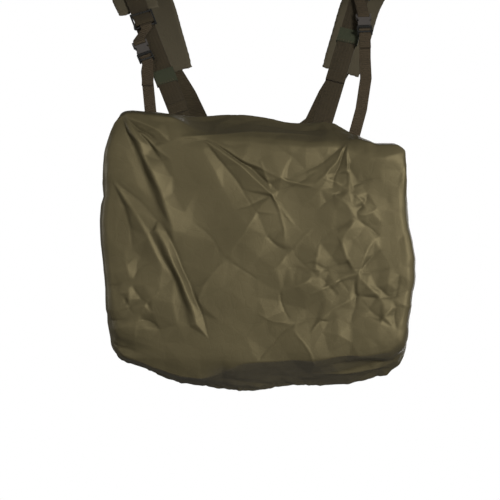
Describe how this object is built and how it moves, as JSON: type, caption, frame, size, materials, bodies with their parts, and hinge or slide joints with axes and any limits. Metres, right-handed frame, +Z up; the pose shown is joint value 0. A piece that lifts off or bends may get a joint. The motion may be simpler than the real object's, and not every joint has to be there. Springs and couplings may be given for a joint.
{
  "type": "chest pack with rain cover",
  "caption": "Chest pack for turkey calls under a pull-off nylon rain cover, on a padded webbing shoulder harness with side-release buckles, in its worn shape.",
  "frame": {"origin": "centre of the mesh pad's face that rests on the wearer's chest", "axes": "+X to the viewer's right as worn, +Y from the pack towards the wearer's back, +Z up"},
  "size_m": [0.3942, 0.3618, 0.5619],
  "materials": {
    "rain_cover_fabric": "coated nylon, satin",
    "cover_hem_fabric": "gathered",
    "pack_fabric": "woven, matt",
    "spacer_mesh": "mesh",
    "pad_fabric": "woven, matt",
    "wide_webbing": "tight weave",
    "narrow_webbing": "ribbed weave",
    "elastic": "knitted elastic",
    "buckle_shell": "satin",
    "black_acetal": "satin",
    "zip_tape": "woven",
    "zip_metal": "dull"
  },
  "bodies": {
    "pack": {"adjust_strap_left": "wide_webbing", "adjust_strap_right": "wide_webbing", "back_panel": "pack_fabric", "back_yoke": "pad_fabric", "box_call_flap": "pack_fabric", "box_call_pocket": "pack_fabric", "buckle_socket_left": "buckle_shell", "buckle_socket_right": "buckle_shell", "ladder_lock_left": "black_acetal", "ladder_lock_right": "black_acetal", "main_compartment": "pack_fabric", "main_lid": "pack_fabric", "narrow_lower_left": "narrow_webbing", "narrow_lower_right": "narrow_webbing", "narrow_upper_left": "narrow_webbing", "narrow_upper_right": "narrow_webbing", "pad_webbing_left": "wide_webbing", "pad_webbing_right": "wide_webbing", "pot_flap_left": "pack_fabric", "pot_flap_right": "pack_fabric", "pot_pocket_left": "pack_fabric", "pot_pocket_right": "pack_fabric", "shoulder_pad_left": "pad_fabric", "shoulder_pad_right": "pad_fabric", "side_socket_left": "buckle_shell", "side_socket_right": "buckle_shell", "side_strap_front_left": "wide_webbing", "side_strap_front_right": "wide_webbing", "side_strap_rear_left": "wide_webbing", "side_strap_rear_right": "wide_webbing", "spacer_mesh_pad": "spacer_mesh", "striker_loops_lower": "elastic", "striker_loops_upper": "elastic", "zip_tape": "zip_tape"},
    "cover": {"rain_cover": "rain_cover_fabric", "cover_hem": "cover_hem_fabric"},
    "zip_left": {"zip_slider_left": "zip_metal"},
    "zip_right": {"zip_slider_right": "zip_metal"},
    "keeper_left": {"keeper_left": "elastic"},
    "buckle_left_plug": {"buckle_plug_left": "black_acetal"},
    "prong_outer_left": {"buckle_prong_outer_left": "black_acetal"},
    "prong_inner_left": {"buckle_prong_inner_left": "black_acetal"},
    "keeper_right": {"keeper_right": "elastic"},
    "buckle_right_plug": {"buckle_plug_right": "black_acetal"},
    "prong_inner_right": {"buckle_prong_inner_right": "black_acetal"},
    "prong_outer_right": {"buckle_prong_outer_right": "black_acetal"},
    "side_buckle_left_plug": {"side_plug_left": "black_acetal"},
    "side_prong_low_left": {"side_prong_low_left": "black_acetal"},
    "side_prong_high_left": {"side_prong_high_left": "black_acetal"},
    "side_buckle_right_plug": {"side_plug_right": "black_acetal"},
    "side_prong_low_right": {"side_prong_low_right": "black_acetal"},
    "side_prong_high_right": {"side_prong_high_right": "black_acetal"}
  },
  "joints": [
    {"name": "cover_pull_off", "type": "slide", "parent": "pack", "child": "cover", "axis": [0, -1, 0], "range_m": [0, 0.13]},
    {"name": "zip_slide_left", "type": "slide", "parent": "pack", "child": "zip_left", "axis": [-1, 0, 0], "range_m": [0, 0.125]},
    {"name": "zip_slide_right", "type": "slide", "parent": "pack", "child": "zip_right", "axis": [1, 0, 0], "range_m": [0, 0.125]},
    {"name": "keeper_slide_left", "type": "slide", "parent": "pack", "child": "keeper_left", "axis": [-0.3422, 0.3888, 0.8554], "range_m": [-0.012, 0.038]},
    {"name": "buckle_left_release", "type": "slide", "parent": "pack", "child": "buckle_left_plug", "axis": [0.3616, -0.3858, -0.8488], "range_m": [0, 0.022], "deforming": ["narrow_lower_left"]},
    {"name": "prong_outer_left_squeeze", "type": "hinge", "parent": "buckle_left_plug", "child": "prong_outer_left", "pos_m": [-0.15349, 0.02565, 0.26265], "axis": [0, 0.9104, -0.4138], "range_deg": [0, 9], "stiffness_Nm_per_rad": 0.2},
    {"name": "prong_inner_left_squeeze", "type": "hinge", "parent": "buckle_left_plug", "child": "prong_inner_left", "pos_m": [-0.14417, 0.02715, 0.26594], "axis": [0, -0.9104, 0.4138], "range_deg": [0, 9], "stiffness_Nm_per_rad": 0.2},
    {"name": "keeper_slide_right", "type": "slide", "parent": "pack", "child": "keeper_right", "axis": [0.2737, 0.398, 0.8756], "range_m": [-0.03, 0.008]},
    {"name": "buckle_right_release", "type": "slide", "parent": "pack", "child": "buckle_right_plug", "axis": [0.03, -0.4587, -0.8881], "range_m": [0, 0.022], "deforming": ["narrow_lower_right"]},
    {"name": "prong_inner_right_squeeze", "type": "hinge", "parent": "buckle_right_plug", "child": "prong_inner_right", "pos_m": [0.13518, 0.04317, 0.30192], "axis": [0, 0.8885, -0.4589], "range_deg": [0, 9], "stiffness_Nm_per_rad": 0.2},
    {"name": "prong_outer_right_squeeze", "type": "hinge", "parent": "buckle_right_plug", "child": "prong_outer_right", "pos_m": [0.14518, 0.0433, 0.30219], "axis": [0, -0.8885, 0.4589], "range_deg": [0, 9], "stiffness_Nm_per_rad": 0.2},
    {"name": "side_buckle_left_release", "type": "slide", "parent": "pack", "child": "side_buckle_left_plug", "axis": [0.124, -0.9923, 0], "range_m": [0, 0.022], "deforming": ["side_strap_front_left"]},
    {"name": "side_prong_low_left_squeeze", "type": "hinge", "parent": "side_buckle_left_plug", "child": "side_prong_low_left", "pos_m": [-0.18776, 0.05805, -0.102], "axis": [0.9923, 0.124, 0], "range_deg": [0, 9], "stiffness_Nm_per_rad": 0.2},
    {"name": "side_prong_high_left_squeeze", "type": "hinge", "parent": "side_buckle_left_plug", "child": "side_prong_high_left", "pos_m": [-0.18776, 0.05805, -0.082], "axis": [-0.9923, -0.124, 0], "range_deg": [0, 9], "stiffness_Nm_per_rad": 0.2},
    {"name": "side_buckle_right_release", "type": "slide", "parent": "pack", "child": "side_buckle_right_plug", "axis": [-0.124, -0.9923, 0], "range_m": [0, 0.022], "deforming": ["side_strap_front_right"]},
    {"name": "side_prong_low_right_squeeze", "type": "hinge", "parent": "side_buckle_right_plug", "child": "side_prong_low_right", "pos_m": [0.18776, 0.05805, -0.082], "axis": [-0.9923, 0.124, 0], "range_deg": [0, 9], "stiffness_Nm_per_rad": 0.2},
    {"name": "side_prong_high_right_squeeze", "type": "hinge", "parent": "side_buckle_right_plug", "child": "side_prong_high_right", "pos_m": [0.18776, 0.05805, -0.102], "axis": [0.9923, -0.124, 0], "range_deg": [0, 9], "stiffness_Nm_per_rad": 0.2}
  ]
}
